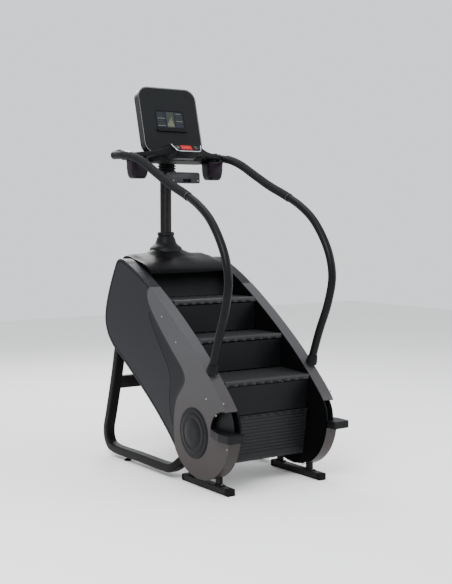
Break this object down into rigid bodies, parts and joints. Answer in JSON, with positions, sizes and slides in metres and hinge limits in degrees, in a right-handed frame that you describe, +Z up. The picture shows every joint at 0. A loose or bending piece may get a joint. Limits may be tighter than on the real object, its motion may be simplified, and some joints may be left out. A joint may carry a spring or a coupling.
{
  "type": "stair climber",
  "caption": "Gym stair climber: a revolving staircase of hinged steps between two side housings, with handrails, a console on a mast and a rear stand.",
  "frame": {"origin": "middle of the bounding box at floor level", "axes": "+X to the user's right, +Y forward from the user to the console, +Z up"},
  "size_m": [0.81, 1.4151, 2.2582],
  "materials": {
    "charcoal_panel": "fine texture",
    "silver_shroud": "satin metallic plastic",
    "black_plastic": "fine texture",
    "gloss_black": "glossy",
    "frame_paint": "powder coat",
    "step_grey": "coated casting",
    "steel": "machined",
    "rubber": "matte",
    "stop_red": "satin"
  },
  "bodies": {
    "frame": {"main_frame": "frame_paint", "step_chain_left": "steel", "step_chain_right": "steel", "side_panel_left": "charcoal_panel", "side_panel_right": "charcoal_panel", "side_shroud_left": "silver_shroud", "side_shroud_right": "silver_shroud", "hub_cap_left": "charcoal_panel", "hub_cap_right": "charcoal_panel", "foot_pad_left": "black_plastic", "foot_pad_right": "black_plastic", "inner_skirt_left": "black_plastic", "inner_skirt_right": "black_plastic", "rear_leg_left": "frame_paint", "rear_leg_right": "frame_paint", "leveller_left": "rubber", "leveller_right": "rubber", "front_foot_left": "frame_paint", "front_foot_right": "frame_paint", "handrail_left": "frame_paint", "handrail_right": "frame_paint", "cup_holder_left": "black_plastic", "cup_holder_right": "black_plastic", "drive_belt": "rubber", "alternator": "frame_paint", "rear_cross_bar": "frame_paint", "top_cover": "black_plastic", "rear_cover": "black_plastic", "mast": "frame_paint", "mast_boot": "black_plastic", "console_shell": "silver_shroud", "console_face": "gloss_black", "console_neck": "black_plastic", "control_tray": "black_plastic", "receiver_box": "silver_shroud"},
    "upper_steps": {"tread_1": "step_grey", "riser_1": "black_plastic", "tread_2": "step_grey", "riser_2": "black_plastic"},
    "lower_steps": {"tread_5": "step_grey", "riser_5": "black_plastic", "tread_6": "step_grey", "riser_6": "black_plastic"},
    "front_idler": {"front_idler_shaft": "steel"},
    "lower_idler": {"lower_idler_shaft": "steel"},
    "upper_shaft": {"upper_shaft": "steel"},
    "alternator_rotor": {"alternator_pulley": "steel"},
    "step_3_tread": {"tread_3": "step_grey"},
    "step_3_riser": {"riser_3": "black_plastic"},
    "step_4_tread": {"tread_4": "step_grey"},
    "step_4_riser": {"riser_4": "black_plastic"},
    "step_7_tread": {"tread_7": "step_grey"},
    "step_7_riser": {"riser_7": "black_plastic"},
    "step_8_tread": {"tread_8": "step_grey"},
    "step_8_riser": {"riser_8": "black_plastic"},
    "stop_button": {"stop_button": "stop_red"},
    "speed_key": {"speed_key": "black_plastic"},
    "level_key": {"level_key": "black_plastic"},
    "grip_switch_left": {"grip_switch_left": "rubber"},
    "grip_switch_right": {"grip_switch_right": "rubber"}
  },
  "joints": [
    {"name": "stair_travel", "type": "slide", "parent": "frame", "child": "upper_steps", "axis": [0, -0.7948, -0.6069], "range_m": [0, 0.05]},
    {"name": "lower_travel", "type": "slide", "parent": "frame", "child": "lower_steps", "axis": [0, 0.7187, 0.6953], "range_m": [-0.0005, 0.0505]},
    {"name": "front_idler_turn", "type": "hinge", "parent": "frame", "child": "front_idler", "pos_m": [0, -0.41587, 0.37688], "axis": [1, 0, 0], "range_deg": [-0.4, 41.33]},
    {"name": "lower_idler_turn", "type": "hinge", "parent": "frame", "child": "lower_idler", "pos_m": [0, -0.32787, 0.26164], "axis": [1, 0, 0], "range_deg": [-0.4, 48.15]},
    {"name": "upper_shaft_turn", "type": "hinge", "parent": "frame", "child": "upper_shaft", "pos_m": [0, 0.36915, 0.96376], "axis": [1, 0, 0], "range_deg": [-0.4, 36.21]},
    {"name": "alternator_turn", "type": "hinge", "parent": "frame", "child": "alternator_rotor", "pos_m": [0, 0.13979, 0.76471], "axis": [1, 0, 0], "range_deg": [-0.4, 119.14]},
    {"name": "tread_3_hinge", "type": "hinge", "parent": "upper_steps", "child": "step_3_tread", "pos_m": [0, -0.24403, 0.59617], "axis": [1, 0, 0], "range_deg": [-0.4, 6.13]},
    {"name": "riser_3_hinge", "type": "hinge", "parent": "front_idler", "child": "step_3_riser", "pos_m": [0, -0.48467, 0.3898], "axis": [1, 0, 0], "range_deg": [-28.65, 0.4]},
    {"name": "tread_4_hinge", "type": "hinge", "parent": "front_idler", "child": "step_4_tread", "pos_m": [0, -0.48467, 0.3898], "axis": [1, 0, 0], "range_deg": [-23.09, 0.4]},
    {"name": "riser_4_hinge", "type": "hinge", "parent": "lower_steps", "child": "step_4_riser", "pos_m": [0, -0.27484, 0.22946], "axis": [1, 0, 0], "range_deg": [-0.4, 23.26]},
    {"name": "tread_7_hinge", "type": "hinge", "parent": "lower_steps", "child": "step_7_tread", "pos_m": [0, 0.18654, 0.67579], "axis": [1, 0, 0], "range_deg": [-0.4, 1.42]},
    {"name": "riser_7_hinge", "type": "hinge", "parent": "upper_shaft", "child": "step_7_riser", "pos_m": [0, 0.41723, 0.89896], "axis": [1, 0, 0], "range_deg": [-35.08, 0.4]},
    {"name": "tread_8_hinge", "type": "hinge", "parent": "upper_shaft", "child": "step_8_tread", "pos_m": [0, 0.41723, 0.89896], "axis": [1, 0, 0], "range_deg": [-8.13, 0.4]},
    {"name": "riser_8_hinge", "type": "hinge", "parent": "upper_steps", "child": "step_8_riser", "pos_m": [0, 0.26617, 0.98577], "axis": [1, 0, 0], "range_deg": [-0.4, 15.2]},
    {"name": "stop_button_press", "type": "slide", "parent": "frame", "child": "stop_button", "axis": [0, 0.7071, -0.7071], "range_m": [0, 0.003], "stiffness_N_per_m": 900},
    {"name": "speed_key_press", "type": "slide", "parent": "frame", "child": "speed_key", "axis": [0, 0.7071, -0.7071], "range_m": [0, 0.003], "stiffness_N_per_m": 900},
    {"name": "level_key_press", "type": "slide", "parent": "frame", "child": "level_key", "axis": [0, 0.7071, -0.7071], "range_m": [0, 0.003], "stiffness_N_per_m": 900},
    {"name": "grip_switch_left_press", "type": "slide", "parent": "frame", "child": "grip_switch_left", "axis": [0, 0, -1], "range_m": [0, 0.002], "stiffness_N_per_m": 900},
    {"name": "grip_switch_right_press", "type": "slide", "parent": "frame", "child": "grip_switch_right", "axis": [0, 0, -1], "range_m": [0, 0.002], "stiffness_N_per_m": 900}
  ],
  "couplings": [
    {"joint": "lower_travel", "follows": "stair_travel", "ratio": 1},
    {"joint": "front_idler_turn", "follows": "stair_travel", "rad_per_m": 14.286},
    {"joint": "lower_idler_turn", "follows": "stair_travel", "rad_per_m": 16.667},
    {"joint": "upper_shaft_turn", "follows": "stair_travel", "rad_per_m": 12.5},
    {"joint": "alternator_turn", "follows": "stair_travel", "rad_per_m": 41.447},
    {"joint": "tread_3_hinge", "follows": "stair_travel", "rad_per_m": 1.9997},
    {"joint": "riser_3_hinge", "follows": "stair_travel", "rad_per_m": -9.8614},
    {"joint": "tread_4_hinge", "follows": "stair_travel", "rad_per_m": -7.9186},
    {"joint": "riser_4_hinge", "follows": "stair_travel", "rad_per_m": 7.9807},
    {"joint": "tread_7_hinge", "follows": "stair_travel", "rad_per_m": 0.3562},
    {"joint": "riser_7_hinge", "follows": "stair_travel", "rad_per_m": -12.104},
    {"joint": "tread_8_hinge", "follows": "stair_travel", "rad_per_m": -2.6986},
    {"joint": "riser_8_hinge", "follows": "stair_travel", "rad_per_m": 5.1668}
  ]
}
